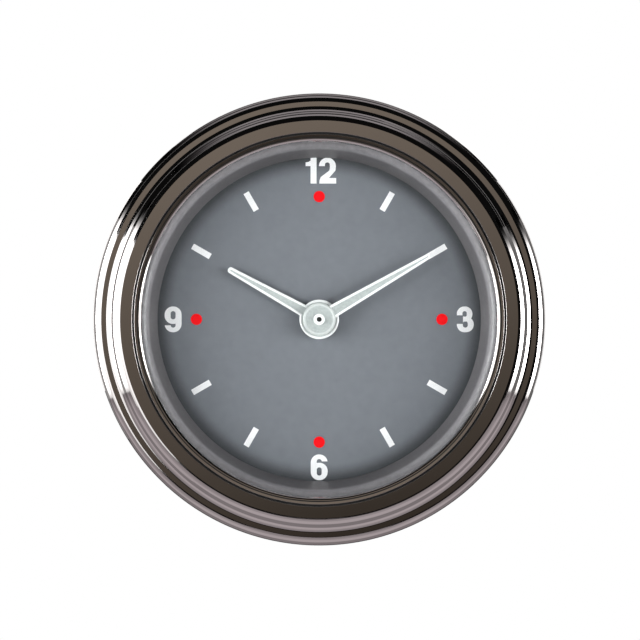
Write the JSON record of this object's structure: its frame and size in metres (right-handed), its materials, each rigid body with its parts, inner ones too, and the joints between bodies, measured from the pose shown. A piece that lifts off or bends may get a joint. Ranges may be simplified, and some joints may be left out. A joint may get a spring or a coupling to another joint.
{
  "type": "panel clock",
  "caption": "Round analogue panel clock with a stepped dark-chrome bezel, flat glass, grey dial, two hands, a cylindrical case and a U clamp behind the panel.",
  "frame": {"origin": "on the dial's axis, in the panel's front face, where the bezel's gasket seats", "axes": "+Y along the dial's axis towards the rear, +Z towards twelve o'clock, +X towards three o'clock"},
  "size_m": [0.06, 0.0569, 0.06],
  "materials": {
    "dark_chrome": "polished black-nickel plate",
    "glass": "polished",
    "rubber": "matte",
    "trim_grey": "satin",
    "dial_grey": "matte, fine-grained",
    "print_white": "screen-printed ink",
    "print_red": "screen-printed ink",
    "hand_silver": "satin, with bright bevels",
    "case_steel": "zinc plate",
    "hardware_steel": "zinc plate",
    "brass": "turned",
    "tinned_brass": "tin plate",
    "acetal": "moulded",
    "black_plastic": "moulded",
    "iron": "stamped",
    "copper": "enamelled wire",
    "magnet": "sintered",
    "board": "solder mask",
    "can_aluminium": "drawn",
    "bulb_glass": "clear"
  },
  "bodies": {
    "housing": {"bezel": "dark_chrome", "lens": "glass", "lens_gasket": "rubber", "trim_ring": "trim_grey", "panel_gasket": "rubber", "case": "case_steel", "dial": "dial_grey", "dial_print_white": "print_white", "dial_print_red": "print_red", "stator": "iron", "coil_core": "iron", "coil_winding": "copper", "stator_screws": "hardware_steel", "movement_holder": "black_plastic", "front_plate": "brass", "back_plate": "brass", "movement_pillars": "brass", "pillar_screws": "hardware_steel", "holder_screws": "hardware_steel", "circuit_board": "board", "board_spacers": "brass", "board_screws": "hardware_steel", "quartz_crystal": "can_aluminium", "driver_chip": "black_plastic", "capacitors": "can_aluminium", "shaft_grommet": "rubber", "mounting_studs": "hardware_steel", "stud_nuts": "hardware_steel", "terminal_block": "black_plastic", "block_rivets": "brass", "power_terminal": "tinned_brass", "ground_terminal": "tinned_brass", "light_terminal": "tinned_brass"},
    "minute": {"minute_hand": "hand_silver", "minute_arbor": "hardware_steel"},
    "hour": {"hour_hand": "hand_silver", "hour_wheel": "acetal"},
    "motion": {"motion_wheel": "acetal"},
    "setting": {"set_shaft": "hardware_steel", "set_knob": "black_plastic"},
    "center": {"center_wheel": "acetal", "clutch_spring": "brass"},
    "third": {"third_wheel": "acetal"},
    "fourth": {"fourth_wheel": "acetal"},
    "intermediate": {"intermediate_wheel": "acetal"},
    "motor": {"rotor": "acetal", "rotor_magnet": "magnet"},
    "bracket": {"clamp_bracket": "hardware_steel", "lock_washers": "hardware_steel"},
    "nut_left": {"thumb_nut_left": "brass"},
    "nut_right": {"thumb_nut_right": "brass"},
    "lamp": {"lamp_socket": "black_plastic", "lamp_bulb": "bulb_glass"}
  },
  "joints": [
    {"name": "minute_hand_turn", "type": "hinge", "parent": "housing", "child": "minute", "pos_m": [0, 0, 0], "axis": [0, 1, 0], "continuous": true},
    {"name": "hour_hand_turn", "type": "hinge", "parent": "housing", "child": "hour", "pos_m": [0, 0, 0], "axis": [0, 1, 0], "continuous": true},
    {"name": "motion_wheel_turn", "type": "hinge", "parent": "housing", "child": "motion", "pos_m": [0, 0, -0.006], "axis": [0, 1, 0], "continuous": true},
    {"name": "set_knob_turn", "type": "hinge", "parent": "housing", "child": "setting", "pos_m": [0, 0, -0.012], "axis": [0, 1, 0], "continuous": true},
    {"name": "fourth_wheel_turn", "type": "hinge", "parent": "housing", "child": "fourth", "pos_m": [-0.00229, 0, 0.00964], "axis": [0, 1, 0], "continuous": true},
    {"name": "third_wheel_turn", "type": "hinge", "parent": "housing", "child": "third", "pos_m": [0.0036, 0, 0.00624], "axis": [0, 1, 0], "continuous": true},
    {"name": "center_wheel_turn", "type": "hinge", "parent": "housing", "child": "center", "pos_m": [0, 0, 0], "axis": [0, 1, 0], "continuous": true},
    {"name": "intermediate_wheel_turn", "type": "hinge", "parent": "housing", "child": "intermediate", "pos_m": [-0.00755, 0, 0.00772], "axis": [0, 1, 0], "continuous": true},
    {"name": "rotor_turn", "type": "hinge", "parent": "housing", "child": "motor", "pos_m": [-0.00879, 0, 0.00308], "axis": [0, 1, 0], "continuous": true},
    {"name": "bracket_slide", "type": "slide", "parent": "housing", "child": "bracket", "axis": [0, 1, 0], "range_m": [-0.002, 0.01]},
    {"name": "thumb_nut_left_turn", "type": "hinge", "parent": "bracket", "child": "nut_left", "pos_m": [-0.017, 0.038, 0], "axis": [0, 1, 0], "range_deg": [-1028.6, 5142.9]},
    {"name": "thumb_nut_right_turn", "type": "hinge", "parent": "bracket", "child": "nut_right", "pos_m": [0.017, 0.038, 0], "axis": [0, 1, 0], "range_deg": [-1028.6, 5142.9]},
    {"name": "lamp_socket_twist", "type": "hinge", "parent": "housing", "child": "lamp", "pos_m": [0.011, 0.028, -0.015], "axis": [0, 1, 0], "range_deg": [0, 45]}
  ],
  "couplings": [
    {"joint": "hour_hand_turn", "follows": "minute_hand_turn", "ratio": 0.083333},
    {"joint": "motion_wheel_turn", "follows": "minute_hand_turn", "ratio": -0.33333},
    {"joint": "set_knob_turn", "follows": "minute_hand_turn", "ratio": 1},
    {"joint": "third_wheel_turn", "follows": "fourth_wheel_turn", "ratio": -0.13333},
    {"joint": "center_wheel_turn", "follows": "fourth_wheel_turn", "ratio": 0.016667},
    {"joint": "intermediate_wheel_turn", "follows": "fourth_wheel_turn", "ratio": -6},
    {"joint": "rotor_turn", "follows": "fourth_wheel_turn", "ratio": 30},
    {"joint": "thumb_nut_left_turn", "follows": "bracket_slide", "rad_per_m": 8976},
    {"joint": "thumb_nut_right_turn", "follows": "bracket_slide", "rad_per_m": 8976}
  ]
}
